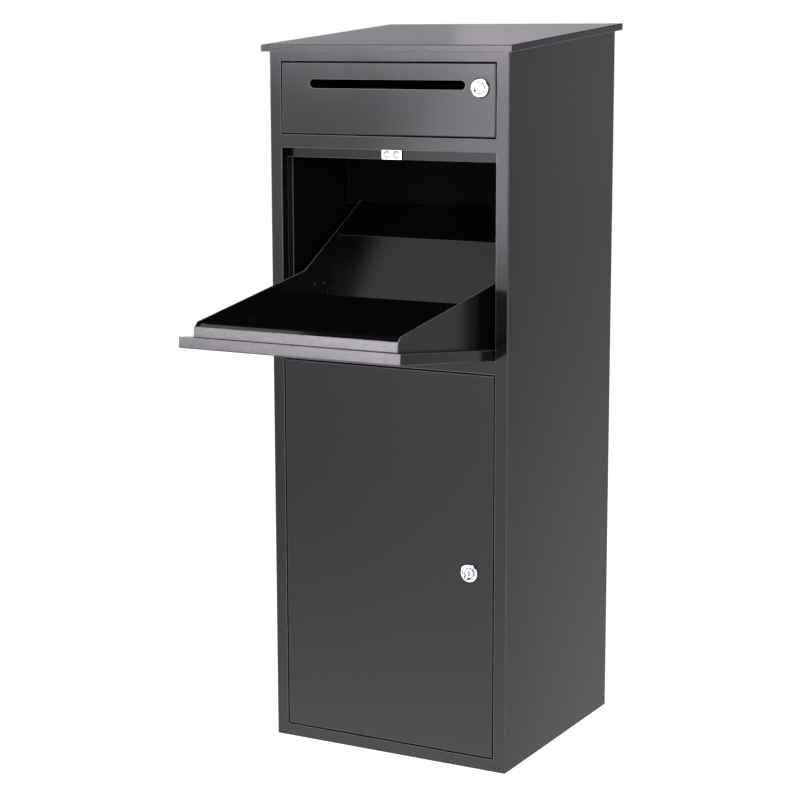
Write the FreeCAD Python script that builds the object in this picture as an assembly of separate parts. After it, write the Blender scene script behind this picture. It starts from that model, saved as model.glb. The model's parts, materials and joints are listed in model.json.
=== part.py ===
"""Parcel drop box: a sheet-steel cabinet with a letter compartment on top, a tip-out parcel
flap with its tray, and a locked collection compartment below.

Millimetres. +X is to the right of someone facing the box, -Y is the front, +Z is up. The
origin is the centre of the base plate's underside. The flap is stored open on its stops,
the doors are closed, and the cams of both locks are turned to the open position.
"""
import FreeCAD, Part
import math
import os

# ---------------------------------------------------------------- cabinet
WIDTH = 380.0
DEPTH = 360.0
SHEET = 1.5
FRONT = -DEPTH / 2
REAR = DEPTH / 2
SIDE = WIDTH / 2
INNER_SIDE = SIDE - SHEET
CORNER_RADIUS = 1.2
WALL_FLANGE = 15.0
BASE_EDGE = 12.0

# ---------------------------------------------------------------- roof
ROOF_PITCH = math.radians(4.43)
ROOF_FRONT_TOP = 1024.8
ROOF_LIP = 9.8
ROOF_OVERHANG_ENDS = 10.0
ROOF_OVERHANG_SIDES = 8.0
ROOF_ANGLE_LEG = 20.0
ROOF_ANGLE_HALF = 150.0
ROOF_STUD_R = 2.5
ROOF_STUD_LENGTH = 11.0
ROOF_STUD_INSET = 12.0
ROOF_STUD_Y = (-120.0, 0.0, 120.0)
ROOF_NUT_FLATS = 8.0
ROOF_NUT_THICK = 4.0

# ---------------------------------------------------------------- rivets
RIVET_R = 1.6
RIVET_HEAD_R = 3.2
BACK_RIVET_COUNT = 7
BACK_RIVET_LOWEST = 60.0
BACK_RIVET_HIGHEST = 990.0
BACK_RIVET_INSET = 7.5

# ---------------------------------------------------------------- front openings
STILE = 18.4
OPENING_HALF = SIDE - STILE
COLLECTION_SILL = 17.5
COLLECTION_HEAD = 574.5
FLAP_SILL = 592.8
FLAP_HEAD = 879.6
LETTER_SILL = 898.1
LETTER_HEAD = 1002.0
DOOR_GAP = 2.0
DOOR_HALF = OPENING_HALF - DOOR_GAP
DOOR_THICK = 15.3
PAN_FLANGE = 12.0

# ---------------------------------------------------------------- door hinges
HINGE_INSET = 16.0
HINGE_DEPTH = 7.0
HINGE_X = -DOOR_HALF + HINGE_INSET
HINGE_Y = FRONT + HINGE_DEPTH
HINGE_PIN_R = 3.0
HINGE_PIN_HEAD_R = 5.0
HINGE_PIN_HEAD = 3.0
HINGE_PIN_OUT = 5.0
LUG_THICK = 4.0
LUG_HALF = 10.5
LUG_BACK = 9.0
BUSH_WALL = 1.5
BUSH_FLANGE = 1.6
BUSH_FLANGE_THICK = 1.4
RUNNING_FIT = 0.05

# ---------------------------------------------------------------- locks
LETTER_LOCK_X = 146.7
LETTER_LOCK_Z = 966.8
LETTER_CAM_REACH = 34.5
COLLECTION_LOCK_X = 133.1
COLLECTION_LOCK_Z = 288.2
COLLECTION_CAM_REACH = 48.0
LOCK_BODY_R = 9.0
LOCK_PLUG_R = 6.5
LOCK_BEZEL_R = 13.25
LOCK_BODY_END = 16.2
LOCK_NUT_FLATS = 24.0
LOCK_NUT_THICK = 3.5
LOCK_FACE = -2.3
KEY_SLOT_HALF_WIDTH = 1.0
KEY_SLOT_HALF_HEIGHT = 4.2
KEY_SLOT_DEPTH = 7.0
CAM_START = 18.5
CAM_THICK = 2.0
CAM_HALF_WIDTH = 8.0
CAM_DRIVE_HALF = 3.5
CAM_SCREW_R = 2.5
CAM_SCREW_START = 12.0

# ---------------------------------------------------------------- letter slot
SLOT_LENGTH = 247.3
SLOT_HEIGHT = 12.7
SLOT_Z = 970.25

# ---------------------------------------------------------------- stops behind the openings
STOP_DEPTH = 16.5
SIDE_STOP_WIDTH = 8.3
DOOR_STOP_WIDTH = 10.0
SIDE_STOP_BOTTOM = 614.0
DOOR_STOP_OVERLAP = 3.0
STOP_RAIL_BOTTOM = 865.6
STOP_RAIL_LEG = 16.0
SHELF_Z = 888.0
SHELF_EDGE = 14.0
SHELF_EDGE_SETBACK = 35.0

# ---------------------------------------------------------------- magnetic catch
CATCH_HALF = 16.1
CATCH_NOTCH_HALF = 18.5
CATCH_BOTTOM = 865.2
CATCH_FACE = FRONT + DOOR_THICK + 0.35
CATCH_BACK = FRONT + STOP_DEPTH + 12.0
MAGNET_R = 5.4
MAGNET_RECESS = 0.4
MAGNET_RECESS_DEPTH = 4.0
MAGNET_X = 7.6
MAGNET_Z = 872.4

# ---------------------------------------------------------------- parcel flap and tray
FLAP_SWING = 83.5
FLAP_TILT = math.radians(90.0 - FLAP_SWING)
PIVOT_Y = FRONT + 6.6
PIVOT_Z = 599.5
PIVOT_PIN_R = 2.5
PIVOT_HEAD_R = 3.0
PIVOT_HEAD_THICK = 3.0
PIVOT_PLATE_THICK = 2.5
PIVOT_PLATE_OUT = -INNER_SIDE + 10.5
PIVOT_PLATE_IN = PIVOT_PLATE_OUT + PIVOT_PLATE_THICK
PIVOT_PLATE_HALF = 20.0
PIVOT_PLATE_DEPTH = 30.0
PIVOT_FOOT_THICK = 2.0
PIVOT_BUSH_FLANGE = 0.65
PIVOT_BUSH_LENGTH = 3.7
LINER_INSET = 12.8
LINER_SETBACK = 15.5
LINER_LIP = 14.0
TRAY_HALF = DOOR_HALF - LINER_INSET
TRAY_FLOOR_Z = 655.2
TRAY_RAMP_RUN = 12.0
MAT_THICK = 2.0
MAT_MARGIN = 3.0
MAT_CORNER = 8.0
CHEEK_KNEE = (FRONT + 35.0, 699.4)
BAFFLE_FOOT_Y = FRONT + 95.0
BAFFLE_BEND = (FRONT + 130.0, 743.7)
BAFFLE_TOP = (FRONT + 200.0, 790.0)
GUARD_Y = FRONT + 214.0
GUARD_BOTTOM = 784.0
GUARD_FLANGE = 18.0
GUARD_HEM = 8.0

# ---------------------------------------------------------------- finger pull in the flap
PULL_LENGTH = 112.0
PULL_HEIGHT = 34.0
PULL_DEPTH = 18.0
PULL_WALL = 1.2
PULL_RIM = 6.0
PULL_Z = FLAP_HEAD - DOOR_GAP - 48.0

# ---------------------------------------------------------------- flap stop tabs and bumpers
TAB_Z = 668.0
TAB_Y = FRONT + 74.0
TAB_HALF = 19.0
TAB_WIDTH = 15.0
TAB_HEIGHT = 15.0
TAB_RIVET_SPREAD = 13.0
TAB_RIVET_RISE = 8.0
BUMPER_HEIGHT = 7.0
BUMPER_R = 5.0
BUMPER_GAP = 0.35
BUMPER_X = -TRAY_HALF - 9.2
BRACKET_THICK = 2.0
BRACKET_HALF = 12.0
BRACKET_DROP = 20.0

# ---------------------------------------------------------------- rib in the collection door
RIB_HALF = 22.0
RIB_BRIM = 14.0
RIB_HEIGHT = 11.0
RIB_END_GAP = 30.0

# ---------------------------------------------------------------- floor anchors
ANCHOR_X = 130.0
ANCHOR_Y = 110.0
ANCHOR_HOLE_R = 6.0

# ---------------------------------------------------------------- making
OVERRUN = 1.0
NEAR = 0.01

X_AXIS = FreeCAD.Vector(1, 0, 0)
Y_AXIS = FreeCAD.Vector(0, 1, 0)
Z_AXIS = FreeCAD.Vector(0, 0, 1)
ROOF_DOWN = FreeCAD.Vector(0, math.sin(ROOF_PITCH), -math.cos(ROOF_PITCH))


# ================================================================ helpers
def box(x0, x1, y0, y1, z0, z1):
    """Axis-aligned block between two corners."""
    return Part.makeBox(x1 - x0, y1 - y0, z1 - z0, FreeCAD.Vector(x0, y0, z0))


def prism_x(outline, x0, x1):
    """Block with a (y, z) outline, from x0 to x1."""
    points = [FreeCAD.Vector(x0, y, z) for y, z in outline]
    face = Part.Face(Part.makePolygon(points + points[:1]))
    return face.extrude(FreeCAD.Vector(x1 - x0, 0, 0))


def prism_z(outline, z0, z1):
    """Block with an (x, y) outline, from z0 to z1."""
    points = [FreeCAD.Vector(x, y, z0) for x, y in outline]
    face = Part.Face(Part.makePolygon(points + points[:1]))
    return face.extrude(FreeCAD.Vector(0, 0, z1 - z0))


def placed(shape, base, axis):
    """Stand a shape made about +Z on a base point, with its +Z along the axis."""
    shape.Placement = FreeCAD.Placement(FreeCAD.Vector(*base), FreeCAD.Rotation(Z_AXIS, axis))
    return shape


def rod(radius, start, axis, length):
    """Round bar from a start point along an axis."""
    return Part.makeCylinder(radius, length, FreeCAD.Vector(*start), axis)


def drilled(shape, radius, centre, axis, depth):
    """Shape with a round hole from a point on its face, along the axis, through the depth."""
    start = FreeCAD.Vector(*centre) - axis * OVERRUN
    return shape.cut(rod(radius, start, axis, depth + 2 * OVERRUN))


def turned(profile, base, axis):
    """Solid of revolution from a closed list of (radius, height), stood on the base point
    with its height along the axis."""
    points = [FreeCAD.Vector(radius, 0, height) for radius, height in profile]
    face = Part.Face(Part.makePolygon(points + points[:1]))
    return placed(face.revolve(FreeCAD.Vector(0, 0, 0), Z_AXIS, 360), base, axis)


def thickened(line, thickness):
    """Outline of a folded sheet: an open (y, z) line and its copy offset to the left."""
    offset = []
    for index, (y, z) in enumerate(line):
        normals = []
        for a, b in ((index - 1, index), (index, index + 1)):
            if a < 0 or b >= len(line):
                continue
            run = math.hypot(line[b][0] - line[a][0], line[b][1] - line[a][1])
            normals.append(((line[a][1] - line[b][1]) / run, (line[b][0] - line[a][0]) / run))
        ny = sum(n[0] for n in normals) / len(normals)
        nz = sum(n[1] for n in normals) / len(normals)
        stretch = thickness / (ny * ny + nz * nz)
        offset.append((y + ny * stretch, z + nz * stretch))
    return list(line) + offset[::-1]


def folded_sheet(line, half, thickness):
    """Sheet folded along an open (y, z) line, as wide as twice the half width. A negative
    thickness lies to the right of the line."""
    return prism_x(thickened(line, thickness), -half, half)


def rounded(shape, radius, wanted):
    """Fillet the edges for which wanted(start, end) is true."""
    edges = []
    for edge in shape.Edges:
        start = edge.Vertexes[0].Point
        end = edge.Vertexes[-1].Point
        if wanted(start, end):
            edges.append(edge)
    return shape.makeFillet(radius, edges)


def rounded_face_y(shape, radius, face_y):
    """Fillet all the edges of the face at y = face_y."""
    return rounded(shape, radius,
                   lambda start, end: abs(start.y - face_y) < NEAR and abs(end.y - face_y) < NEAR)


def stadium(length, height, x, z, y0, y1):
    """Slot-shaped block with round ends, lying along X."""
    half = length / 2 - height / 2
    block = box(x - half, x + half, y0, y1, z - height / 2, z + height / 2)
    for end in (x - half, x + half):
        block = block.fuse(rod(height / 2, (end, y0, z), Y_AXIS, y1 - y0))
    return block.removeSplitter()


def hexagon(across_flats, thick):
    """Hexagonal block standing on the origin."""
    radius = across_flats / math.sqrt(3)
    corners = [math.radians(60 * k) for k in range(6)]
    return prism_z([(radius * math.cos(a), radius * math.sin(a)) for a in corners], 0, thick)


def nut(across_flats, thick, hole_r, base, axis):
    """Hexagonal nut with its near face on the base point."""
    block = drilled(hexagon(across_flats, thick), hole_r, (0, 0, 0), Z_AXIS, thick)
    return placed(block, base, axis)


def dome_rivet(base, axis, grip):
    """Rivet with a domed head on the base point and a shank going back by the grip."""
    profile = [(0, -grip), (RIVET_R, -grip), (RIVET_R, 0), (RIVET_HEAD_R, 0),
               (RIVET_HEAD_R - 0.25, 0.6), (RIVET_HEAD_R - 1.2, 1.1), (0, 1.3)]
    return turned(profile, base, axis)


def mirrored(shape):
    """Copy on the other side of the box."""
    return shape.mirror(FreeCAD.Vector(0, 0, 0), X_AXIS)


def both_sides(shape):
    """A left-hand piece and its mirror image, as two solids."""
    return [shape, mirrored(shape)]


def roof_top(y):
    """Height of the roof's upper surface."""
    return ROOF_FRONT_TOP + (y - (FRONT - ROOF_OVERHANG_ENDS)) * math.tan(ROOF_PITCH)


def roof_under(y):
    """Height of the roof sheet's underside, where the cabinet's walls end."""
    return roof_top(y) - SHEET / math.cos(ROOF_PITCH)


def opened(shape):
    """Swing a piece of the flap from its closed place to its stored, open place."""
    swung = shape.copy()
    swung.rotate(FreeCAD.Vector(0, PIVOT_Y, PIVOT_Z), X_AXIS, FLAP_SWING)
    return swung


def opened_point(y, z):
    """The (y, z) that a point of the closed flap has when the flap is open."""
    angle = math.radians(FLAP_SWING)
    dy = y - PIVOT_Y
    dz = z - PIVOT_Z
    return (PIVOT_Y + dy * math.cos(angle) - dz * math.sin(angle),
            PIVOT_Z + dy * math.sin(angle) + dz * math.cos(angle))


# ================================================================ cabinet shell
def front_frame():
    """Front plate with its three openings and rounded upright edges."""
    plate = box(-SIDE, SIDE, FRONT, FRONT + SHEET, 0, roof_under(FRONT))

    def upright_front_edge(start, end):
        return (abs(start.x - end.x) < NEAR and abs(start.y - FRONT) < NEAR
                and abs(end.y - FRONT) < NEAR)

    plate = rounded(plate, CORNER_RADIUS, upright_front_edge)
    openings = ((COLLECTION_SILL, COLLECTION_HEAD), (FLAP_SILL, FLAP_HEAD), (LETTER_SILL, LETTER_HEAD))
    for sill, head in openings:
        plate = plate.cut(box(-OPENING_HALF, OPENING_HALF, FRONT - OVERRUN, FRONT + SHEET + OVERRUN,
                              sill, head))
    return plate


def back_rivet_places():
    """Positions (x, z) of the rivets down the left edge of the back panel."""
    step = (BACK_RIVET_HIGHEST - BACK_RIVET_LOWEST) / (BACK_RIVET_COUNT - 1)
    x = -INNER_SIDE + BACK_RIVET_INSET
    return [(x, BACK_RIVET_LOWEST + step * k) for k in range(BACK_RIVET_COUNT)]


def side_panel():
    """Left wall, with a flange turned in at the rear to carry the back panel."""
    start = FRONT + SHEET
    wall = prism_x([(start, 0), (REAR, 0), (REAR, roof_under(REAR)), (start, roof_under(start))],
                   -SIDE, -INNER_SIDE)
    flange_y = REAR - 2 * SHEET
    flange = box(-INNER_SIDE, -INNER_SIDE + WALL_FLANGE, flange_y, flange_y + SHEET,
                 SHEET, roof_under(flange_y))
    wall = wall.fuse(flange).removeSplitter()
    for x, z in back_rivet_places():
        wall = drilled(wall, RIVET_R, (x, flange_y, z), Y_AXIS, SHEET)
    return wall


def back_panel():
    """Flat rear sheet between the side walls, drilled for its rivets."""
    face = REAR - SHEET
    panel = box(-INNER_SIDE, INNER_SIDE, face, REAR, 0, roof_under(face))
    for x, z in back_rivet_places():
        for side in (x, -x):
            panel = drilled(panel, RIVET_R, (side, face, z), Y_AXIS, SHEET)
    return panel


def shell_rivets():
    """Dome rivets that join the back panel to the side walls' rear flanges."""
    rivets = []
    for x, z in back_rivet_places():
        rivets += both_sides(dome_rivet((x, REAR, z), Y_AXIS, 2 * SHEET))
    return rivets


def base_plate():
    """Floor of the cabinet with two turned-up edges and four anchor holes."""
    start = FRONT + SHEET
    end = REAR - 2 * SHEET
    plate = box(-INNER_SIDE, INNER_SIDE, start, end, 0, SHEET)
    for edge in both_sides(box(-INNER_SIDE, -INNER_SIDE + SHEET, start, end, 0, BASE_EDGE)):
        plate = plate.fuse(edge)
    plate = plate.removeSplitter()
    for x in (-ANCHOR_X, ANCHOR_X):
        for y in (-ANCHOR_Y, ANCHOR_Y):
            plate = drilled(plate, ANCHOR_HOLE_R, (x, y, 0), Z_AXIS, SHEET)
    return plate


def roof_cap():
    """Sloping roof sheet with a drip lip turned down on all four sides."""
    y0 = FRONT - ROOF_OVERHANG_ENDS
    y1 = REAR + ROOF_OVERHANG_ENDS
    half = SIDE + ROOF_OVERHANG_SIDES
    outer = prism_x([(y0, roof_top(y0) - ROOF_LIP), (y0, roof_top(y0)),
                     (y1, roof_top(y1)), (y1, roof_top(y1) - ROOF_LIP)], -half, half)

    def top_edge(start, end):
        return abs(start.z - roof_top(start.y)) < NEAR and abs(end.z - roof_top(end.y)) < NEAR

    outer = rounded(outer, CORNER_RADIUS, top_edge)
    inner_y0 = y0 + SHEET
    inner_y1 = y1 - SHEET
    depth = ROOF_LIP + OVERRUN
    hollow = prism_x([(inner_y0, roof_under(inner_y0) - depth), (inner_y0, roof_under(inner_y0)),
                      (inner_y1, roof_under(inner_y1)), (inner_y1, roof_under(inner_y1) - depth)],
                     -half + SHEET, half - SHEET)
    return outer.cut(hollow)


def roof_stud_places():
    """Places of the three fixing studs on the left of the roof's underside."""
    return [(-INNER_SIDE + ROOF_STUD_INSET, y, roof_under(y)) for y in ROOF_STUD_Y]


def roof_angle():
    """Left angle strip: spot-welded to the side wall, bolted up to the roof."""
    y0 = -ROOF_ANGLE_HALF
    y1 = ROOF_ANGLE_HALF

    def leg(width, height):
        outline = [(y0, roof_under(y0) - height), (y0, roof_under(y0)),
                   (y1, roof_under(y1)), (y1, roof_under(y1) - height)]
        return prism_x(outline, -INNER_SIDE, -INNER_SIDE + width)

    strip = leg(SHEET, ROOF_ANGLE_LEG).fuse(leg(ROOF_ANGLE_LEG, SHEET)).removeSplitter()
    for place in roof_stud_places():
        strip = drilled(strip, ROOF_STUD_R, place, ROOF_DOWN, SHEET)
    return strip


def roof_studs():
    """Weld studs, square to the roof's underside."""
    studs = []
    for place in roof_stud_places():
        studs += both_sides(rod(ROOF_STUD_R, place, ROOF_DOWN, ROOF_STUD_LENGTH))
    return studs


def roof_nuts():
    """Nuts that clamp the roof to the angle strips."""
    nuts = []
    for x, y, z in roof_stud_places():
        seat = FreeCAD.Vector(x, y, z) + ROOF_DOWN * SHEET
        nuts += both_sides(nut(ROOF_NUT_FLATS, ROOF_NUT_THICK, ROOF_STUD_R, seat, ROOF_DOWN))
    return nuts


def letter_shelf():
    """Floor of the letter compartment, with an edge turned down along each side wall."""
    start = FRONT + SHEET
    end = REAR - 2 * SHEET
    top = SHELF_Z + SHEET
    plate = box(-INNER_SIDE, INNER_SIDE, start, end, SHELF_Z, top)
    edge = box(-INNER_SIDE, -INNER_SIDE + SHEET, start + SHELF_EDGE_SETBACK, end, SHELF_Z - SHELF_EDGE, top)
    for turned_down in both_sides(edge):
        plate = plate.fuse(turned_down)
    return plate.removeSplitter()


def rear_guard_plate():
    """Plate hung from the shelf behind the tray, so that no hand reaches over the baffle."""
    line = [(GUARD_Y + GUARD_HEM, GUARD_BOTTOM), (GUARD_Y, GUARD_BOTTOM),
            (GUARD_Y, SHELF_Z), (GUARD_Y + GUARD_FLANGE, SHELF_Z)]
    return folded_sheet(line, INNER_SIDE - 2 * SHEET, -SHEET)


# ================================================================ stops and catch
def flap_stop_rail():
    """Rail behind the head of the flap opening, notched for the magnetic catch."""
    face = FRONT + STOP_DEPTH
    rail = box(-OPENING_HALF, OPENING_HALF, face, face + SHEET, STOP_RAIL_BOTTOM, SHELF_Z)
    leg = box(-OPENING_HALF, OPENING_HALF, face, face + STOP_RAIL_LEG, SHELF_Z - SHEET, SHELF_Z)
    notch = box(-CATCH_NOTCH_HALF, CATCH_NOTCH_HALF, face - OVERRUN, face + SHEET + OVERRUN,
                STOP_RAIL_BOTTOM - OVERRUN, SHELF_Z - SHEET)
    return rail.fuse(leg).removeSplitter().cut(notch)


def flap_side_stop():
    """Left jamb of the flap opening: a return going back, then a flange facing the flap."""
    jamb = -OPENING_HALF
    back = FRONT + STOP_DEPTH + SHEET
    ledge = box(jamb - SHEET, jamb, FRONT + SHEET, back, SIDE_STOP_BOTTOM, SHELF_Z)
    flange = box(jamb - SHEET, jamb + SIDE_STOP_WIDTH, back - SHEET, back,
                 SIDE_STOP_BOTTOM, STOP_RAIL_BOTTOM)
    return ledge.fuse(flange).removeSplitter()


def door_stop(sill, head):
    """Strip behind the lock side of a door opening, which the cam hooks behind."""
    back = FRONT + STOP_DEPTH + SHEET
    jamb = OPENING_HALF
    bottom = sill - DOOR_STOP_OVERLAP
    top = head + DOOR_STOP_OVERLAP
    ledge = box(jamb, jamb + SHEET, FRONT + SHEET, back, bottom, top)
    flange = box(jamb - DOOR_STOP_WIDTH, jamb + SHEET, back - SHEET, back, bottom, top)
    return ledge.fuse(flange).removeSplitter()


def catch_housing():
    """Magnetic catch block, hung from the stop rail's top leg in the notch."""
    corner = 0.8
    block = box(-CATCH_HALF, CATCH_HALF, CATCH_FACE, CATCH_BACK, CATCH_BOTTOM, SHELF_Z - SHEET)
    block = rounded_face_y(block, corner, CATCH_FACE)
    for x in (-MAGNET_X, MAGNET_X):
        recess = rod(MAGNET_R + MAGNET_RECESS, (x, CATCH_FACE - OVERRUN, MAGNET_Z), Y_AXIS,
                     MAGNET_RECESS_DEPTH + OVERRUN)
        block = block.cut(recess)
    return block


def catch_magnets():
    """Two round pole pieces with a dished face."""
    profile = [(0, 0.9), (2.2, 0.9), (3.0, 0.35), (4.6, 0.1), (MAGNET_R, 0.5),
               (MAGNET_R, MAGNET_RECESS_DEPTH), (0, MAGNET_RECESS_DEPTH)]
    return [turned(profile, (x, CATCH_FACE, MAGNET_Z), Y_AXIS) for x in (-MAGNET_X, MAGNET_X)]


# ================================================================ hinge hardware
def hinge_lugs(sill, head):
    """Two lugs behind the frame, one over and one under a door's hinge edge."""
    lugs = []
    for z in (head, sill - LUG_THICK):
        lug = box(HINGE_X - LUG_HALF, HINGE_X + LUG_HALF, FRONT + SHEET, HINGE_Y + LUG_BACK,
                  z, z + LUG_THICK)
        bore = HINGE_PIN_R + RUNNING_FIT + BUSH_WALL
        lugs.append(drilled(lug, bore, (HINGE_X, HINGE_Y, z), Z_AXIS, LUG_THICK))
    return lugs


def above_and_below(profile, sill, head):
    """A turned piece above a door's top edge, and the same one upside down below it."""
    upper = turned(profile, (HINGE_X, HINGE_Y, head), Z_AXIS)
    lower = turned(profile, (HINGE_X, HINGE_Y, sill), -Z_AXIS)
    return [upper, lower]


def hinge_bushes(sill, head):
    """Flanged nylon bushes in the lugs; the lower one's flange carries the door."""
    bore = HINGE_PIN_R + RUNNING_FIT
    outside = bore + BUSH_WALL
    flange = outside + BUSH_FLANGE
    profile = [(bore, -BUSH_FLANGE_THICK), (flange, -BUSH_FLANGE_THICK), (flange, 0),
               (outside, 0), (outside, LUG_THICK), (bore, LUG_THICK)]
    return above_and_below(profile, sill, head)


def hinge_pins(sill, head):
    """Two headed pins pressed outwards through the door's top and bottom edges."""
    inner_face = DOOR_GAP + SHEET
    chamfer = 0.6
    profile = [(0, -inner_face - HINGE_PIN_HEAD), (HINGE_PIN_HEAD_R, -inner_face - HINGE_PIN_HEAD),
               (HINGE_PIN_HEAD_R, -inner_face), (HINGE_PIN_R, -inner_face),
               (HINGE_PIN_R, HINGE_PIN_OUT - chamfer), (HINGE_PIN_R - chamfer, HINGE_PIN_OUT),
               (0, HINGE_PIN_OUT)]
    return above_and_below(profile, sill, head)


def pivot_bracket():
    """Left flap pivot: an upright plate with a foot welded behind the front frame."""
    start = FRONT + SHEET
    foot_edge = 1.0
    z0 = PIVOT_Z - PIVOT_PLATE_HALF
    z1 = PIVOT_Z + PIVOT_PLATE_HALF
    plate = box(PIVOT_PLATE_OUT, PIVOT_PLATE_IN, start, FRONT + PIVOT_PLATE_DEPTH, z0, z1)
    foot = box(-INNER_SIDE + foot_edge, PIVOT_PLATE_IN, start, start + PIVOT_FOOT_THICK, z0, z1)
    bracket = plate.fuse(foot).removeSplitter()
    bore = PIVOT_PIN_R + RUNNING_FIT + BUSH_WALL
    return drilled(bracket, bore, (PIVOT_PLATE_OUT, PIVOT_Y, PIVOT_Z), X_AXIS, PIVOT_PLATE_THICK)


def pivot_bush():
    """Left flanged nylon bush, its flange towards the flap."""
    bore = PIVOT_PIN_R + RUNNING_FIT
    outside = bore + BUSH_WALL
    flange = outside + PIVOT_BUSH_FLANGE
    profile = [(bore, 0), (outside, 0), (outside, PIVOT_PLATE_THICK), (flange, PIVOT_PLATE_THICK),
               (flange, PIVOT_BUSH_LENGTH), (bore, PIVOT_BUSH_LENGTH)]
    return turned(profile, (PIVOT_PLATE_OUT, PIVOT_Y, PIVOT_Z), X_AXIS)


def pivot_pin():
    """Left pivot pin: its head is inside the flap, its end turns in the bush."""
    protrusion = 1.5
    chamfer = 0.6
    tip = PIVOT_PLATE_OUT - protrusion
    length = -DOOR_HALF + SHEET - tip
    profile = [(0, 0), (PIVOT_PIN_R - chamfer, 0), (PIVOT_PIN_R, chamfer), (PIVOT_PIN_R, length),
               (PIVOT_HEAD_R, length), (PIVOT_HEAD_R, length + PIVOT_HEAD_THICK),
               (0, length + PIVOT_HEAD_THICK)]
    return turned(profile, (tip, PIVOT_Y, PIVOT_Z), X_AXIS)


# ================================================================ doors
def pan(sill, head):
    """Folded door shell: front sheet, four returns and narrow flanges round an open back."""
    z0 = sill + DOOR_GAP
    z1 = head - DOOR_GAP
    back = FRONT + DOOR_THICK
    shell = rounded_face_y(box(-DOOR_HALF, DOOR_HALF, FRONT, back, z0, z1), CORNER_RADIUS, FRONT)
    shell = shell.cut(box(-DOOR_HALF + SHEET, DOOR_HALF - SHEET, FRONT + SHEET, back - SHEET,
                          z0 + SHEET, z1 - SHEET))
    return shell.cut(box(-DOOR_HALF + PAN_FLANGE, DOOR_HALF - PAN_FLANGE,
                         back - SHEET - OVERRUN, back + OVERRUN, z0 + PAN_FLANGE, z1 - PAN_FLANGE))


def door_panel(sill, head, lock_x, lock_z):
    """Door shell with its lock hole and hinge-pin holes."""
    shell = drilled(pan(sill, head), LOCK_BODY_R, (lock_x, FRONT, lock_z), Y_AXIS, SHEET)
    for z in (sill + DOOR_GAP, head - DOOR_GAP - SHEET):
        shell = drilled(shell, HINGE_PIN_R, (HINGE_X, HINGE_Y, z), Z_AXIS, SHEET)
    return shell


def letter_door_panel():
    """Letter door: the door shell with the mail slot."""
    shell = door_panel(LETTER_SILL, LETTER_HEAD, LETTER_LOCK_X, LETTER_LOCK_Z)
    return shell.cut(stadium(SLOT_LENGTH, SLOT_HEIGHT, 0, SLOT_Z, FRONT - OVERRUN, FRONT + SHEET + OVERRUN))


def door_stiffener():
    """Hat-section rib down the inside of the collection door."""
    foot = FRONT + SHEET
    crown = foot + RIB_HEIGHT
    outside = RIB_HALF + SHEET
    brim = RIB_HALF + RIB_BRIM
    inner_line = [(-brim, foot), (-RIB_HALF, foot), (-RIB_HALF, crown - SHEET),
                  (RIB_HALF, crown - SHEET), (RIB_HALF, foot), (brim, foot)]
    outer_line = [(brim, foot + SHEET), (outside, foot + SHEET), (outside, crown),
                  (-outside, crown), (-outside, foot + SHEET), (-brim, foot + SHEET)]
    return prism_z(inner_line + outer_line, COLLECTION_SILL + RIB_END_GAP, COLLECTION_HEAD - RIB_END_GAP)


# ================================================================ cam locks
def lock_housing(x, z):
    """Chromed bezel and round body of a cam lock, with the bore for its plug."""
    bore = LOCK_PLUG_R + RUNNING_FIT
    profile = [(bore, -1.2), (8.0, -2.6), (8.8, -3.4), (9.6, -3.7), (11.0, -3.5), (12.3, -2.8),
               (LOCK_BEZEL_R, -1.5), (LOCK_BEZEL_R, 0), (LOCK_BODY_R, 0),
               (LOCK_BODY_R, LOCK_BODY_END), (bore, LOCK_BODY_END)]
    return turned(profile, (x, FRONT, z), Y_AXIS)


def lock_nut(x, z):
    """Hexagonal nut that clamps the lock from inside the door."""
    return nut(LOCK_NUT_FLATS, LOCK_NUT_THICK, LOCK_BODY_R, (x, FRONT + SHEET, z), Y_AXIS)


def lock_cylinder(x, z):
    """Turning plug with a key slot in its face, a collar and a square drive at its tail."""
    chamfer = 0.5
    collar_r = 7.6
    collar_start = LOCK_BODY_END + 0.4
    collar_end = CAM_START - 0.4
    profile = [(0, LOCK_FACE), (LOCK_PLUG_R - chamfer, LOCK_FACE), (LOCK_PLUG_R, LOCK_FACE + chamfer),
               (LOCK_PLUG_R, collar_start), (collar_r, collar_start), (collar_r, collar_end),
               (0, collar_end)]
    plug = turned(profile, (x, FRONT, z), Y_AXIS)
    drive = box(x - CAM_DRIVE_HALF, x + CAM_DRIVE_HALF, FRONT + CAM_SCREW_START,
                FRONT + CAM_START + CAM_THICK, z - CAM_DRIVE_HALF, z + CAM_DRIVE_HALF)
    plug = plug.fuse(drive).removeSplitter()
    key_slot = box(x - KEY_SLOT_HALF_WIDTH, x + KEY_SLOT_HALF_WIDTH,
                   FRONT + LOCK_FACE - OVERRUN, FRONT + LOCK_FACE + KEY_SLOT_DEPTH,
                   z - KEY_SLOT_HALF_HEIGHT, z + KEY_SLOT_HALF_HEIGHT)
    screw_hole = rod(CAM_SCREW_R, (x, FRONT + CAM_SCREW_START, z), Y_AXIS, CAM_START)
    return plug.cut(key_slot).cut(screw_hole)


def lock_cam(x, z, reach):
    """Cam plate, hanging down in the open position."""
    y0 = FRONT + CAM_START
    y1 = y0 + CAM_THICK
    tip = reach - CAM_HALF_WIDTH
    plate = box(x - CAM_HALF_WIDTH, x + CAM_HALF_WIDTH, y0, y1, z - tip, z)
    for centre in (z, z - tip):
        plate = plate.fuse(rod(CAM_HALF_WIDTH, (x, y0, centre), Y_AXIS, CAM_THICK))
    return plate.removeSplitter().cut(box(x - CAM_DRIVE_HALF, x + CAM_DRIVE_HALF, y0 - OVERRUN, y1 + OVERRUN,
                                          z - CAM_DRIVE_HALF, z + CAM_DRIVE_HALF))


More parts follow.
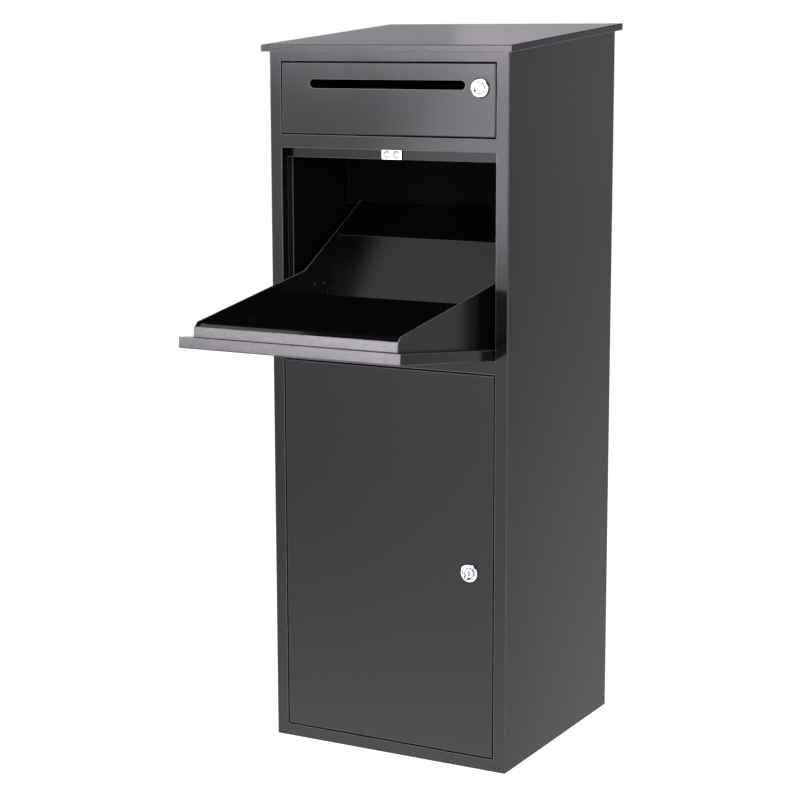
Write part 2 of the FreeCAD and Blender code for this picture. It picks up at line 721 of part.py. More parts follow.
def lock_screw(x, z):
    """Screw that holds the cam on the plug."""
    start = CAM_SCREW_START + 0.2
    seat = CAM_START + CAM_THICK
    profile = [(0, start), (CAM_SCREW_R, start), (CAM_SCREW_R, seat), (5.8, seat), (5.8, seat + 1.6),
               (4.4, seat + 2.8), (0, seat + 3.1)]
    return turned(profile, (x, FRONT, z), Y_AXIS)


# ================================================================ parcel flap and tray
def flap_outer_panel():
    """Flap shell, with holes for the pull cup and for the pivot pins."""
    shell = pan(FLAP_SILL, FLAP_HEAD)
    shell = shell.cut(stadium(PULL_LENGTH, PULL_HEIGHT, 0, PULL_Z, FRONT - OVERRUN, FRONT + SHEET + OVERRUN))
    for x in (-DOOR_HALF, DOOR_HALF - SHEET):
        shell = drilled(shell, PIVOT_PIN_R, (x, PIVOT_Y, PIVOT_Z), X_AXIS, SHEET)
    return opened(shell)


def flap_pull_cup():
    """Recessed finger pull, set behind the flap's front sheet."""
    face = FRONT + SHEET
    bottom = FRONT + PULL_DEPTH
    cup = stadium(PULL_LENGTH + 2 * PULL_WALL, PULL_HEIGHT + 2 * PULL_WALL, 0, PULL_Z,
                  face, bottom + PULL_WALL)
    rim = stadium(PULL_LENGTH + 2 * PULL_RIM, PULL_HEIGHT + 2 * PULL_RIM, 0, PULL_Z,
                  face, face + PULL_WALL)
    cup = cup.fuse(rim).removeSplitter()
    return opened(cup.cut(stadium(PULL_LENGTH, PULL_HEIGHT, 0, PULL_Z, face - OVERRUN, bottom)))


def tray_line():
    """The tray's upper surface, open: root and top of its front lip, ramp end, floor end."""
    root_z = FLAP_HEAD - DOOR_GAP - LINER_SETBACK
    lip_root = opened_point(FRONT + DOOR_THICK, root_z)
    lip_top = opened_point(FRONT + DOOR_THICK + LINER_LIP, root_z)
    ramp_end = (lip_top[0] + TRAY_RAMP_RUN, TRAY_FLOOR_Z)
    return [lip_root, lip_top, ramp_end, (BAFFLE_FOOT_Y, TRAY_FLOOR_Z)]


def baffle_line():
    """The baffle's front surface, open: from behind the pivot, under the tray's rear edge,
    up the lower wall and up the wall that leans back."""
    foot_lift = 3.0
    behind_pivot = opened_point(FRONT + DOOR_THICK + SHEET, FLAP_SILL + DOOR_GAP + foot_lift)
    return [behind_pivot, (BAFFLE_FOOT_Y, TRAY_FLOOR_Z - SHEET), BAFFLE_BEND, BAFFLE_TOP]


def flap_liner():
    """Tray floor in one folded sheet: front lip, short ramp and level floor."""
    line = tray_line()
    floor = folded_sheet(line, TRAY_HALF - SHEET, -SHEET)
    lip = folded_sheet(line[:2], TRAY_HALF, -SHEET)
    return floor.fuse(lip).removeSplitter()


def cheek():
    """Left side wall of the tray, from the lip at the front to the baffle at the rear."""
    step = 6.0
    lift = 2.5
    heel_lift = 1.0
    lip_root, lip_top = tray_line()[:2]
    behind_y = math.cos(FLAP_TILT) * SHEET
    behind_z = -math.sin(FLAP_TILT) * SHEET
    front = [(lip_root[0] + behind_y, lip_root[1] + behind_z),
             (lip_top[0] + behind_y, lip_top[1] + behind_z),
             (lip_top[0] + behind_y + step, TRAY_FLOOR_Z + lift)]
    rear_line = baffle_line()
    baffle_back = thickened(rear_line, -SHEET)[len(rear_line):]
    heel = opened_point(FRONT + DOOR_THICK, FLAP_SILL + DOOR_GAP + heel_lift)
    outline = front + [CHEEK_KNEE, BAFFLE_TOP] + baffle_back + [heel]
    wall = prism_x(outline, -TRAY_HALF, -TRAY_HALF + SHEET)
    for y, z in tab_rivet_places():
        wall = drilled(wall, RIVET_R, (-TRAY_HALF, y, z), X_AXIS, SHEET)
    return wall


def rear_baffle():
    """Rear wall of the tray in one folded sheet: closing strip underneath, lower wall and
    upper wall leaning back."""
    return folded_sheet(baffle_line(), TRAY_HALF - SHEET, -SHEET)


def tray_mat():
    """Rubber mat on the tray floor."""
    ramp_gap = 1.0
    ramp_end = tray_line()[2]
    half = TRAY_HALF - SHEET - MAT_MARGIN
    mat = box(-half, half, ramp_end[0] + ramp_gap, BAFFLE_FOOT_Y - MAT_MARGIN,
              TRAY_FLOOR_Z, TRAY_FLOOR_Z + MAT_THICK)

    def upright(start, end):
        return abs(start.x - end.x) < NEAR and abs(start.y - end.y) < NEAR

    return rounded(mat, MAT_CORNER, upright)


def tab_rivet_places():
    """Positions (y, z) of the two rivets that hold a stop tab on its cheek."""
    return [(TAB_Y + side * TAB_RIVET_SPREAD, TAB_Z + TAB_RIVET_RISE) for side in (-1, 1)]


def stop_tab():
    """Left angle riveted to the cheek; it meets the bumper when the flap is fully open."""
    face = -TRAY_HALF
    y0 = TAB_Y - TAB_HALF
    y1 = TAB_Y + TAB_HALF
    upright = box(face - SHEET, face, y0, y1, TAB_Z - SHEET, TAB_Z + TAB_HEIGHT)
    level = box(face - TAB_WIDTH, face, y0, y1, TAB_Z - SHEET, TAB_Z)
    tab = upright.fuse(level).removeSplitter()
    for y, z in tab_rivet_places():
        tab = drilled(tab, RIVET_R, (face - SHEET, y, z), X_AXIS, SHEET)
    return tab


def cheek_rivets():
    """Rivets that fix the stop tabs to the cheeks."""
    rivets = []
    for y, z in tab_rivet_places():
        rivets += both_sides(dome_rivet((-TRAY_HALF - SHEET, y, z), -X_AXIS, 2 * SHEET))
    return rivets


def flap_bumper():
    """Left rubber bumper that the open flap rests against."""
    chamfer = 1.0
    profile = [(0, 0), (BUMPER_R - chamfer, 0), (BUMPER_R, chamfer), (BUMPER_R, BUMPER_HEIGHT),
               (0, BUMPER_HEIGHT)]
    return turned(profile, (BUMPER_X, TAB_Y, TAB_Z + BUMPER_GAP), Z_AXIS)


def bumper_bracket():
    """Left angle welded to the side wall, with the bumper under its level leg."""
    seat_z = TAB_Z + BUMPER_GAP + BUMPER_HEIGHT
    y0 = TAB_Y - BRACKET_HALF
    y1 = TAB_Y + BRACKET_HALF
    seat = box(-INNER_SIDE, BUMPER_X + BUMPER_R, y0, y1, seat_z, seat_z + BRACKET_THICK)
    wall = box(-INNER_SIDE, -INNER_SIDE + BRACKET_THICK, y0, y1, seat_z - BRACKET_DROP,
               seat_z + BRACKET_THICK)
    return seat.fuse(wall).removeSplitter()


# ================================================================ assembly
def cabinet_parts():
    """Everything that stands still."""
    letter = (LETTER_SILL, LETTER_HEAD)
    collection = (COLLECTION_SILL, COLLECTION_HEAD)
    pieces = {
        "front_frame": front_frame(),
        "back_panel": back_panel(),
        "base_plate": base_plate(),
        "roof_cap": roof_cap(),
        "roof_studs": roof_studs(),
        "roof_nuts": roof_nuts(),
        "letter_shelf": letter_shelf(),
        "rear_guard_plate": rear_guard_plate(),
        "shell_rivets": shell_rivets(),
        "flap_stop_rail": flap_stop_rail(),
        "letter_door_stop": door_stop(*letter),
        "collection_door_stop": door_stop(*collection),
        "catch_housing": catch_housing(),
        "catch_magnets": catch_magnets(),
        "flap_pivot_bushes": both_sides(pivot_bush()),
        "flap_bumpers": both_sides(flap_bumper()),
        "letter_hinge_lugs": hinge_lugs(*letter),
        "letter_hinge_bushes": hinge_bushes(*letter),
        "collection_hinge_lugs": hinge_lugs(*collection),
        "collection_hinge_bushes": hinge_bushes(*collection),
    }
    pairs = {
        "side_panel": side_panel(),
        "roof_angle": roof_angle(),
        "flap_stop": flap_side_stop(),
        "pivot_bracket": pivot_bracket(),
        "bumper_bracket": bumper_bracket(),
    }
    for name, left in pairs.items():
        pieces["left_" + name] = left
        pieces["right_" + name] = mirrored(left)
    return pieces


def lock_parts(door, x, z, cam_reach):
    """The five pieces of a door's cam lock."""
    return {
        door + "_lock_housing": lock_housing(x, z),
        door + "_lock_nut": lock_nut(x, z),
        door + "_lock_cylinder": lock_cylinder(x, z),
        door + "_lock_cam": lock_cam(x, z, cam_reach),
        door + "_lock_screw": lock_screw(x, z),
    }


def door_parts():
    """Both doors with their hinge pins and locks."""
    pieces = {
        "letter_door_panel": letter_door_panel(),
        "letter_hinge_pins": hinge_pins(LETTER_SILL, LETTER_HEAD),
        "collection_door_panel": door_panel(COLLECTION_SILL, COLLECTION_HEAD,
                                            COLLECTION_LOCK_X, COLLECTION_LOCK_Z),
        "collection_door_stiffener": door_stiffener(),
        "collection_hinge_pins": hinge_pins(COLLECTION_SILL, COLLECTION_HEAD),
    }
    pieces.update(lock_parts("letter", LETTER_LOCK_X, LETTER_LOCK_Z, LETTER_CAM_REACH))
    pieces.update(lock_parts("collection", COLLECTION_LOCK_X, COLLECTION_LOCK_Z, COLLECTION_CAM_REACH))
    return pieces


def flap_parts():
    """The parcel flap with its tray."""
    left_cheek = cheek()
    return {
        "flap_outer_panel": flap_outer_panel(),
        "flap_pull_cup": flap_pull_cup(),
        "flap_liner": flap_liner(),
        "left_cheek": left_cheek,
        "right_cheek": mirrored(left_cheek),
        "rear_baffle": rear_baffle(),
        "tray_mat": tray_mat(),
        "flap_pivot_pins": both_sides(pivot_pin()),
        "flap_stop_tabs": both_sides(stop_tab()),
        "cheek_rivets": cheek_rivets(),
    }


def main():
    """Write one STEP file for each sub-part."""
    os.makedirs("parts", exist_ok=True)
    for group in (cabinet_parts(), door_parts(), flap_parts()):
        for name, shape in group.items():
            if isinstance(shape, list):
                shape = Part.makeCompound(shape)
            for solid in shape.Solids:
                if not solid.isValid() or solid.Volume <= 0:
                    print("bad solid in", name)
            print("%-28s %2d solids %10.1f mm3" % (name, len(shape.Solids), shape.Volume))
            shape.exportStep(os.path.join("parts", name + ".step"))


main()
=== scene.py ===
"""Looks for the parcel drop box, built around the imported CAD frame. Metres, CAD frame."""
import json
import math

import bmesh
import bpy
from mathutils import Matrix, Vector


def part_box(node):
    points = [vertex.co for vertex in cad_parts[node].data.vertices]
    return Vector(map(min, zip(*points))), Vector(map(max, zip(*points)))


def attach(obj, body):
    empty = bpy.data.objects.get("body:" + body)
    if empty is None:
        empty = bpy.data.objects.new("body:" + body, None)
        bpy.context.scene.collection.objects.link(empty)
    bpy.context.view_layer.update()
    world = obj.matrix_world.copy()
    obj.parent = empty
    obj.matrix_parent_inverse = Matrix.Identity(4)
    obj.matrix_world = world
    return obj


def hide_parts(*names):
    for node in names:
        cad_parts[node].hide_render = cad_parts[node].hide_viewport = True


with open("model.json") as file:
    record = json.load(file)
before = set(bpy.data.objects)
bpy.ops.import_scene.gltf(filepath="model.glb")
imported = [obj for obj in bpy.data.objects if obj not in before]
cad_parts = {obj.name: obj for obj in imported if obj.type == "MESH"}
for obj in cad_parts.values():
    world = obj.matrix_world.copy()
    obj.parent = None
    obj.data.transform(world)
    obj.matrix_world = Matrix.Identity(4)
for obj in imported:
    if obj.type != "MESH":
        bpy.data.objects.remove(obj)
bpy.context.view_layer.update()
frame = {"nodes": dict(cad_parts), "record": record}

NODES = frame["nodes"]
MM = 0.001

# ---------------------------------------------------------------- camera
CAMERA_PLACE = (1.4284, -2.7451, 1.0397)
CAMERA_LENS = 94.13
CAMERA_YAW = math.radians(28.747)
CAMERA_PITCH = math.radians(9.935)
CAMERA_ROLL = math.radians(-0.133)

# ---------------------------------------------------------------- powder coat
ANTHRACITE = (0.0036, 0.0034, 0.0037)
# Painted highlight: the much lighter base colour laid on open edges.
EDGE_HIGHLIGHT_PAINT = (0.170, 0.163, 0.175)
COAT_ROUGHNESS = 0.13
FLAP_ROUGHNESS = 0.155
FLAP_GRAIN = 2.4
FLAP_GLOSS = 0.54
EDGE_RADIUS = 1.1 * MM
EDGE_ROUGHER = 0.25
EDGE_GLOSSIER = 0.6
# Painted shade: within this reach of another wall the coat's specular level drops towards GAP_GLOSS,
# and edges lose their painted highlight.
GAP_REACH = 3.0 * MM
GAP_GLOSS = 0.25
SWELL_HEIGHT = 0.010 * MM
PEBBLE_HEIGHT = 0.005 * MM

# ---------------------------------------------------------------- studio
STUDIO_TINT = (1.01, 0.96, 1.035)
# The room's brightness by direction: a level and its slopes to the right, back and up.
ROOM_LEVEL = 0.70
ROOM_ACROSS = -0.29
ROOM_ALONG = -0.27
ROOM_UP = -1.49
ROOM_DARKEST = 0.02
HORIZON_GLOW = 0.21
HORIZON_WIDTH = 0.08
# Brighter and darker parts of the room: behind (1) or in front (-1), then the middle across and
# up, the half width across and up, and the gain there.
ROOM_PATCHES = (
    (-1, -0.56, -0.205, 0.085, 0.085, -0.42),
    (-1, -0.47, -0.36, 0.20, 0.05, 0.35),
    (-1, -0.58, 0.005, 0.12, 0.035, -0.75),
    (1, 0.50, -0.30, 0.065, 0.60, -0.62),
    (1, 0.47, -0.36, 0.05, 0.10, -0.40),
)
# Softboxes, metres: name, place, what it is aimed at, width, height, radiance, roll in radians.
SOFTBOXES = (
    ("wide_front", (-6.36, -9.2, 1.66), (0, 0, 0.8), 4.6, 0.88, 16.0, -0.11),
    ("strip_front", (-2.27, -8.5, 1.89), (0, 0, 0.8), 0.9, 5.4, 4.1, -0.76),
    ("high_front", (-3.9, -6.0, 4.9), (0, 0, 0.7), 3.4, 1.8, 0.9, 0.0),
    ("edge_right", (4.6, -5.4, 1.6), (0, 0, 1.0), 1.6, 2.6, 16.0, 0.0),
    ("edge_left", (-6.6, -0.9, 1.6), (0, 0, 1.0), 1.6, 2.6, 16.0, 0.0),
    ("edge_top", (0.4, -2.6, 5.2), (0, 0, 0.8), 3.6, 1.2, 16.0, 0.0),
    ("high_back", (-3.0, 3.8, 4.1), (0, 0, 0.6), 3.4, 3.0, 0.40, 0.0),
)
# The back softbox has a soft rim: several boxes on one another, each grown by one of these.
BACK_PLACE = (-3.77, 9.0, 4.27)
BACK_WIDTH = 1.15
BACK_HEIGHT = 2.17
BACK_RADIANCE = 4.55
BACK_FEATHER = (-0.35, -0.12, 0.12, 0.35)
FLOOR_SIZE = 120.0
FLOOR_DROP = 0.2 * MM

# ---------------------------------------------------------------- locks, millimetres
LOCK_TURNS = 96
LOCK_CREASE = math.radians(30.0)
BRIM_STEPS = 8
BRIM_WIDTH = 2.0
BRIM_HEIGHT = 2.15

# ---------------------------------------------------------------- inside of the cabinet
# It takes in the inner faces of the sides and the front, and stops short of the back and the roof.
# Painted shade: inside this box the coat is made matt and its specular level cut, so the inside stays
# dark.
SHELL_X = 0.1888
SHELL_FRONT = -0.1787
SHELL_REAR = 0.1784
SHELL_TOP = 1.0090
SHELL_ROUGHNESS = 0.8
SHELL_GLOSS = 0.1


# ================================================================ node tools
class Graph:
    """A material's node tree, with short calls for the nodes used here."""

    def __init__(self, name):
        self.material = bpy.data.materials.new(name)
        self.material.use_nodes = True
        self.tree = self.material.node_tree
        self.tree.nodes.clear()
        self.output = self.add("ShaderNodeOutputMaterial")
        self.shader = self.add("ShaderNodeBsdfPrincipled")
        self.link(self.shader.outputs["BSDF"], self.output.inputs["Surface"])
        self.place = self.add("ShaderNodeTexCoord").outputs["Object"]

    def add(self, kind, **settings):
        node = self.tree.nodes.new(kind)
        for key, value in settings.items():
            setattr(node, key, value)
        return node

    def link(self, source, target):
        self.tree.links.new(source, target)

    def noise(self, scale, detail=2.0, roughness=0.5, stretch=None):
        """Noise with this many features to the metre; stretch scales the axes apart."""
        node = self.add("ShaderNodeTexNoise")
        node.inputs["Scale"].default_value = scale
        node.inputs["Detail"].default_value = detail
        node.inputs["Roughness"].default_value = roughness
        place = self.place
        if stretch:
            mapping = self.add("ShaderNodeMapping")
            mapping.inputs["Scale"].default_value = stretch
            self.link(place, mapping.inputs["Vector"])
            place = mapping.outputs["Vector"]
        self.link(place, node.inputs["Vector"])
        return node.outputs["Fac"]

    def spread(self, value, low, high, from_low=0.3, from_high=0.7):
        """Map a value, by default a noise, to a range."""
        node = self.add("ShaderNodeMapRange")
        node.inputs["From Min"].default_value = from_low
        node.inputs["From Max"].default_value = from_high
        node.inputs["To Min"].default_value = low
        node.inputs["To Max"].default_value = high
        self.link(value, node.inputs["Value"])
        return node.outputs["Result"]

    def maths(self, operation, first, second):
        node = self.add("ShaderNodeMath", operation=operation)
        for socket, value in zip(node.inputs, (first, second)):
            if isinstance(value, (int, float)):
                socket.default_value = value
            else:
                self.link(value, socket)
        return node.outputs["Value"]

    def blend_colours(self, factor, first, second):
        """Colour between two, by a factor."""
        node = self.add("ShaderNodeMix", data_type="RGBA")
        self.link(factor, node.inputs["Factor"])
        for name, value in (("A", first), ("B", second)):
            socket = [s for s in node.inputs if s.name == name and s.type == "RGBA"][0]
            if isinstance(value, tuple):
                socket.default_value = (*value, 1.0)
            else:
                self.link(value, socket)
        return [s for s in node.outputs if s.type == "RGBA"][0]

    def rounded_normal(self, radius):
        """Surface normal with edges rounded to a radius."""
        bevel = self.add("ShaderNodeBevel", samples=6)
        bevel.inputs["Radius"].default_value = radius
        return bevel.outputs["Normal"]

    def edges(self, rounded):
        """0 on flat faces, rising to 1 on an edge."""
        true_normal = self.add("ShaderNodeNewGeometry").outputs["Normal"]
        dot = self.add("ShaderNodeVectorMath", operation="DOT_PRODUCT")
        self.link(rounded, dot.inputs[0])
        self.link(true_normal, dot.inputs[1])
        return self.spread(dot.outputs["Value"], 1.0, 0.0, 0.95, 1.0)

    def openness(self, reach):
        """0 in a crevice, 1 in the open; reach is how far away a wall still counts."""
        hollow = self.add("ShaderNodeAmbientOcclusion", samples=6)
        hollow.inputs["Distance"].default_value = reach
        return self.spread(hollow.outputs["AO"], 0.0, 1.0, 0.4, 0.95)

    def shade(self, reach, dark, bright):
        """Painted shade: colour from dark in crevices to bright in the open."""
        return self.blend_colours(self.openness(reach), dark, bright)

    def within(self, axis, low, high):
        """1 where a coordinate lies between two values, otherwise 0."""
        parts = self.add("ShaderNodeSeparateXYZ")
        self.link(self.place, parts.inputs[0])
        above = self.maths("GREATER_THAN", parts.outputs[axis], low)
        below = self.maths("LESS_THAN", parts.outputs[axis], high)
        return self.maths("MULTIPLY", above, below)

    def bump(self, layers, normal=None):
        """Stack bump layers, each (height, distance in metres), and feed the shader."""
        for height, distance in layers:
            node = self.add("ShaderNodeBump")
            node.inputs["Strength"].default_value = 1.0
            node.inputs["Distance"].default_value = distance
            self.link(height, node.inputs["Height"])
            if normal:
                self.link(normal, node.inputs["Normal"])
            normal = node.outputs["Normal"]
        self.link(normal, self.shader.inputs["Normal"])

    def set(self, **values):
        for key, value in values.items():
            self.shader.inputs[key.replace("_", " ")].default_value = value

    def feed(self, key, source):
        self.link(source, self.shader.inputs[key])


# ================================================================ materials
def powder_coat(name, roughness, grain, gloss=0.5, shell=False):
    """Glossy, nearly black powder coat: pebbled skin, faint mottling, a painted highlight on open
    edges (a much lighter base colour), and painted shade in gaps (a lower specular level).
    With shell, the inside of the cabinet is matt, its specular level cut as painted shade."""
    g = Graph(name)
    cloud = g.noise(9.0, 3.0)
    speck = g.noise(1100.0, 1.0)
    pebble = g.noise(620.0, 2.0, 0.6)
    swell = g.noise(170.0, 1.0)
    darker = tuple(c * 0.9 for c in ANTHRACITE)
    lighter = tuple(c * 1.1 for c in ANTHRACITE)
    fleck = tuple(c * 1.6 for c in ANTHRACITE)
    mottled = g.blend_colours(g.spread(cloud, 0.0, 1.0), darker, lighter)
    flecked = g.blend_colours(g.spread(speck, 0.0, 0.5, 0.55, 0.75), mottled, fleck)
    rounded = g.rounded_normal(EDGE_RADIUS)
    airy = g.openness(GAP_REACH)
    # Painted highlight: open edges, away from gaps, get a much lighter base colour, more roughness and
    # more gloss.
    painted_edge_highlight = g.maths("MULTIPLY", g.edges(rounded), airy)
    g.feed("Base Color", g.blend_colours(painted_edge_highlight, flecked, EDGE_HIGHLIGHT_PAINT))
    rough = g.maths("ADD", g.spread(cloud, roughness - 0.01, roughness + 0.01),
                    g.maths("MULTIPLY", painted_edge_highlight, EDGE_ROUGHER))
    flicker = 0.10 * grain
    sparkle = g.spread(g.noise(750.0, 1.0), gloss * (1.0 - flicker), gloss * (1.0 + flicker))
    sparkle = g.maths("ADD", sparkle, g.maths("MULTIPLY", painted_edge_highlight, EDGE_GLOSSIER))
    # Painted shade: the specular level drops in gaps and crevices.
    sparkle = g.maths("MULTIPLY", sparkle, g.spread(airy, GAP_GLOSS, 1.0, 0.0, 1.0))
    # Painted shade: inside the cabinet the coat turns matt and dull.
    if shell:
        across = g.within("X", -SHELL_X, SHELL_X)
        along = g.within("Y", SHELL_FRONT, SHELL_REAR)
        inside = g.maths("MULTIPLY", g.maths("MULTIPLY", across, along), g.within("Z", 0.0, SHELL_TOP))
        rough = g.maths("MAXIMUM", rough, g.maths("MULTIPLY", inside, SHELL_ROUGHNESS))
        sparkle = g.maths("MULTIPLY", sparkle, g.spread(inside, 1.0, SHELL_GLOSS, 0.0, 1.0))
    g.set(Specular_IOR_Level=gloss)
    g.feed("Specular IOR Level", sparkle)
    g.feed("Roughness", rough)
    g.bump([(swell, SWELL_HEIGHT * grain), (pebble, PEBBLE_HEIGHT * grain)], rounded)
    return g.material


def chrome(name):
    """Polished chrome plate with faint hairlines."""
    g = Graph(name)
    g.set(Metallic=1.0)
    # Painted shade: the base colour darkens to near black in crevices within 1.5 mm.
    g.feed("Base Color", g.shade(1.5 * MM, (0.06, 0.06, 0.065), (0.86, 0.86, 0.86)))
    haze = g.noise(260.0, 3.0)
    hairline = g.noise(900.0, 2.0, 0.5, (1.0, 1.0, 14.0))
    g.feed("Roughness", g.spread(haze, 0.14, 0.20))
    g.bump([(hairline, 0.004 * MM)])
    return g.material


def zinc(name):
    """Zinc-plated steel: cool, slightly blotchy, satin."""
    g = Graph(name)
    g.set(Metallic=1.0)
    blotch = g.noise(320.0, 4.0, 0.6)
    grain = g.noise(2200.0, 2.0)
    plated = g.blend_colours(g.spread(blotch, 0.0, 1.0), (0.50, 0.50, 0.495), (0.60, 0.605, 0.61))
    # Painted shade: the base colour goes near black within 3 mm of another wall, as in the hinge gaps.
    g.feed("Base Color", g.shade(3.0 * MM, (0.01, 0.01, 0.01), plated))
    g.feed("Roughness", g.spread(blotch, 0.26, 0.42))
    g.bump([(grain, 0.01 * MM)])
    return g.material


def nylon(name):
    """Black moulded nylon with a fine spark-eroded texture."""
    g = Graph(name)
    texture = g.noise(1700.0, 2.0, 0.7)
    haze = g.noise(60.0, 2.0)
    g.set(Specular_IOR_Level=0.15)
    black = g.blend_colours(g.spread(haze, 0.0, 1.0), (0.004, 0.004, 0.004), (0.008, 0.008, 0.008))
    g.feed("Base Color", black)
    g.feed("Roughness", g.spread(texture, 0.55, 0.70))
    g.bump([(texture, 0.03 * MM)])
    return g.material


def rubber(name):
    """Matte black rubber with a trace of dust."""
    g = Graph(name)
    dust = g.noise(45.0, 5.0, 0.65)
    skin = g.noise(1300.0, 2.0, 0.6)
    g.set(Specular_IOR_Level=0.0)
    dusty = g.spread(dust, 0.0, 1.0, 0.5, 0.85)
    black = g.blend_colours(dusty, (0.0022, 0.0022, 0.0022), (0.0050, 0.0050, 0.0047))
    g.feed("Base Color", black)
    g.feed("Roughness", g.spread(dust, 0.72, 0.88))
    g.bump([(skin, 0.04 * MM)])
    return g.material


def floor_finish(name):
    """Plain pale floor: mostly self-lit, so that it stays even out to the horizon."""
    g = Graph(name)
    g.set(Roughness=0.9, Base_Color=(0.3, 0.3, 0.3, 1.0), Specular_IOR_Level=0.0,
          Emission_Color=(1.0, 1.0, 1.0, 1.0), Emission_Strength=0.97)
    return g.material


MATERIALS = {
    "cabinet_coat": powder_coat("cabinet_coat", COAT_ROUGHNESS, 1.0, shell=True),
    "door_coat": powder_coat("door_coat", COAT_ROUGHNESS, 1.0),
    "flap_coat": powder_coat("flap_coat", FLAP_ROUGHNESS, FLAP_GRAIN, gloss=FLAP_GLOSS),
    "zinc_steel": zinc("zinc_steel"),
    "lock_chrome": chrome("lock_chrome"),
    "black_nylon": nylon("black_nylon"),
    "black_rubber": rubber("black_rubber"),
}

# Duller coats for the stop rail and for the tray's walls. The stop rail's lower specular level is
# painted shade on the rail set back in the opening; the tray's walls get a rougher coat.
RAIL_SHADE_COAT = powder_coat("cabinet_coat_rail_shade", 0.16, 1.0, gloss=0.28)
TRAY_COAT = powder_coat("flap_coat_tray", 0.25, 1.0)
OWN_COATS = {"flap_stop_rail": RAIL_SHADE_COAT, "left_cheek": TRAY_COAT, "right_cheek": TRAY_COAT,
             "rear_baffle": TRAY_COAT}


# ================================================================ CAD nodes
def paint_nodes():
    """Give every CAD node the material of its slot in the record."""
    for row in frame["record"]["subparts"]:
        node = NODES[row["node"]]
        node.data.materials.clear()
        node.data.materials.append(OWN_COATS.get(row["node"], MATERIALS[row["material_slot"]]))


def lathed(name, profile, centre):
    """Ring turned about an axis along Y; the profile is (radius, depth behind the centre), mm."""
    mesh = bpy.data.meshes.new(name)
    turned = bmesh.new()
    rings = []
    for radius, depth in profile:
        ring = []
        for step in range(LOCK_TURNS):
            angle = 2.0 * math.pi * step / LOCK_TURNS
            place = Vector((radius * math.cos(angle), depth, radius * math.sin(angle)))
            ring.append(turned.verts.new(centre + place * MM))
        rings.append(ring)
    for first, second in zip(rings, rings[1:] + rings[:1]):
        for step in range(LOCK_TURNS):
            after = (step + 1) % LOCK_TURNS
            turned.faces.new((first[step], first[after], second[after], second[step]))
    bmesh.ops.recalc_face_normals(turned, faces=turned.faces)
    for face in turned.faces:
        face.smooth = True
    for edge in turned.edges:
        edge.smooth = edge.calc_face_angle(0.0) < LOCK_CREASE
    turned.to_mesh(mesh)
    turned.free()
    ring_object = bpy.data.objects.new(name, mesh)
    bpy.context.scene.collection.objects.link(ring_object)
    return ring_object


def lock_profile():
    """Bezel with a rolled outer brim, a turned groove and a dished mouth, on a round body."""
    brim = []
    for step in range(BRIM_STEPS + 1):
        angle = math.radians(90.0 * step / BRIM_STEPS)
        brim.append((11.25 + BRIM_WIDTH * math.sin(angle), -1.5 - BRIM_HEIGHT * math.cos(angle)))
    mouth = [(6.56, 16.2), (6.56, -1.2), (6.9, -1.5), (8.3, -2.8), (8.7, -3.3), (9.1, -3.55)]
    groove = [(9.5, -3.55), (9.75, -3.3), (9.8, -2.5), (10.4, -2.5), (10.45, -3.4), (10.75, -3.6)]
    body = [(13.25, -0.01), (9.0, -0.01), (9.0, 16.2)]
    return mouth + groove + brim + body


def detail_lock(prefix):
    """Smooth lathed lock housing in place of the faceted one, level with it in the door's face."""
    node = NODES[prefix + "_lock_housing"]
    low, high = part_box(prefix + "_lock_housing")
    centre = (low + high) / 2
    centre.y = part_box(prefix + "_door_panel")[0].y
    piece = lathed(prefix + "_lock_bezel", lock_profile(), centre)
    piece.data.materials.append(node.data.materials[0])
    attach(piece, prefix + "_door")
    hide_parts(prefix + "_lock_housing")


# ================================================================ stage
def make_floor():
    bpy.ops.mesh.primitive_plane_add(size=FLOOR_SIZE, location=(0, 0, -FLOOR_DROP))
    floor = bpy.context.object
    floor.name = "floor"
    floor.data.materials.append(floor_finish("floor_finish"))
    floor.visible_glossy = False
    floor.visible_diffuse = False


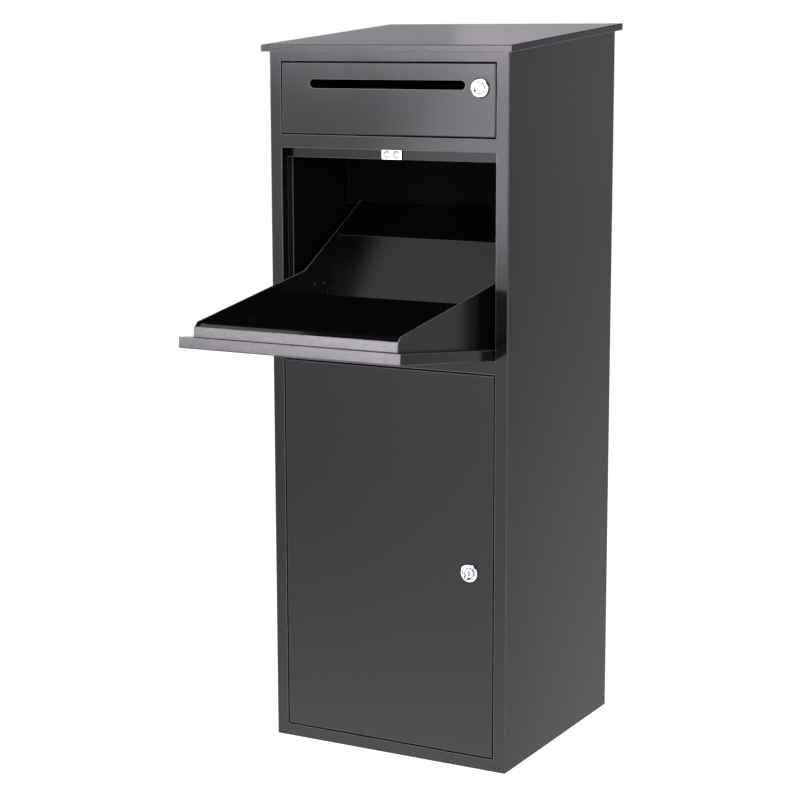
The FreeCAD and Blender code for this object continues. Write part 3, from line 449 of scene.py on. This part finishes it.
def make_world():
    """Room light: bright pale floor below, dark ceiling, brighter to the front left and along
    the horizon, with a few patches. The camera itself sees plain white."""
    world = bpy.data.worlds.new("studio")
    world.use_nodes = True
    bpy.context.scene.world = world
    tree = world.node_tree
    tree.nodes.clear()

    def maths(operation, first, second=0.0):
        node = tree.nodes.new("ShaderNodeMath")
        node.operation = operation
        for socket, value in zip(node.inputs, (first, second)):
            if isinstance(value, (int, float)):
                socket.default_value = value
            else:
                tree.links.new(value, socket)
        return node.outputs["Value"]

    parts = tree.nodes.new("ShaderNodeSeparateXYZ")
    tree.links.new(tree.nodes.new("ShaderNodeTexCoord").outputs["Generated"], parts.inputs[0])
    across, along, up = parts.outputs
    slope = maths("ADD", maths("MULTIPLY", across, ROOM_ACROSS), maths("MULTIPLY", along, ROOM_ALONG))
    level = maths("ADD", maths("ADD", slope, maths("MULTIPLY", up, ROOM_UP)), ROOM_LEVEL)
    height = maths("DIVIDE", up, HORIZON_WIDTH)
    band = maths("EXPONENT", maths("MULTIPLY", maths("MULTIPLY", height, height), -1.0))
    level = maths("ADD", level, maths("MULTIPLY", band, HORIZON_GLOW))
    level = maths("MAXIMUM", level, ROOM_DARKEST)
    for side, middle_x, middle_z, half_x, half_z, gain in ROOM_PATCHES:
        off_x = maths("DIVIDE", maths("SUBTRACT", across, middle_x), half_x)
        off_z = maths("DIVIDE", maths("SUBTRACT", up, middle_z), half_z)
        off = maths("ADD", maths("MULTIPLY", off_x, off_x), maths("MULTIPLY", off_z, off_z))
        patch = maths("EXPONENT", maths("MULTIPLY", off, -1.0))
        patch = maths("MULTIPLY", patch, maths("GREATER_THAN", maths("MULTIPLY", along, side), 0.0))
        level = maths("MULTIPLY", level, maths("ADD", maths("MULTIPLY", patch, gain), 1.0))
    room = tree.nodes.new("ShaderNodeBackground")
    room.inputs["Color"].default_value = (*STUDIO_TINT, 1.0)
    tree.links.new(level, room.inputs["Strength"])
    seen = tree.nodes.new("ShaderNodeBackground")
    seen.inputs["Color"].default_value = (1.0, 1.0, 1.0, 1.0)
    mix = tree.nodes.new("ShaderNodeMixShader")
    tree.links.new(tree.nodes.new("ShaderNodeLightPath").outputs["Is Camera Ray"], mix.inputs[0])
    tree.links.new(room.outputs[0], mix.inputs[1])
    tree.links.new(seen.outputs[0], mix.inputs[2])
    output = tree.nodes.new("ShaderNodeOutputWorld")
    tree.links.new(mix.outputs[0], output.inputs["Surface"])


def softbox(name, place, target, width, height, radiance, roll=0.0):
    """Rectangular light of a given radiance, aimed at a point and rolled about its aim."""
    light = bpy.data.lights.new(name, "AREA")
    light.shape = "RECTANGLE"
    light.size = width
    light.size_y = height
    light.energy = radiance * math.pi * width * height
    light.color = STUDIO_TINT
    holder = bpy.data.objects.new(name, light)
    bpy.context.scene.collection.objects.link(holder)
    aim = Vector(target) - Vector(place)
    holder.location = place
    turn = aim.to_track_quat("-Z", "Y").to_matrix() @ Matrix.Rotation(roll, 3, "Z")
    holder.rotation_euler = turn.to_euler()
    holder.visible_camera = False


def make_lights():
    """All the softboxes, with the back one built up of layers for its soft rim."""
    for box in SOFTBOXES:
        softbox(*box)
    back_target = (BACK_PLACE[0], 0.0, BACK_PLACE[2])
    for grow in BACK_FEATHER:
        softbox("back_left", BACK_PLACE, back_target, BACK_WIDTH + 2 * grow,
                BACK_HEIGHT + 2 * grow, BACK_RADIANCE / len(BACK_FEATHER))


def make_camera():
    data = bpy.data.cameras.new("camera")
    data.lens = CAMERA_LENS
    data.sensor_width = 36.0
    camera = bpy.data.objects.new("camera", data)
    bpy.context.scene.collection.objects.link(camera)
    level = math.radians(90)
    turn = Matrix.Rotation(CAMERA_YAW, 4, "Z")
    turn = turn @ Matrix.Rotation(level - CAMERA_PITCH, 4, "X")
    turn = turn @ Matrix.Rotation(CAMERA_ROLL, 4, "Z")
    camera.matrix_world = Matrix.Translation(CAMERA_PLACE) @ turn
    bpy.context.scene.camera = camera


paint_nodes()
detail_lock("letter")
detail_lock("collection")
make_floor()
make_world()
make_lights()
make_camera()
bpy.context.scene.view_settings.view_transform = "Standard"
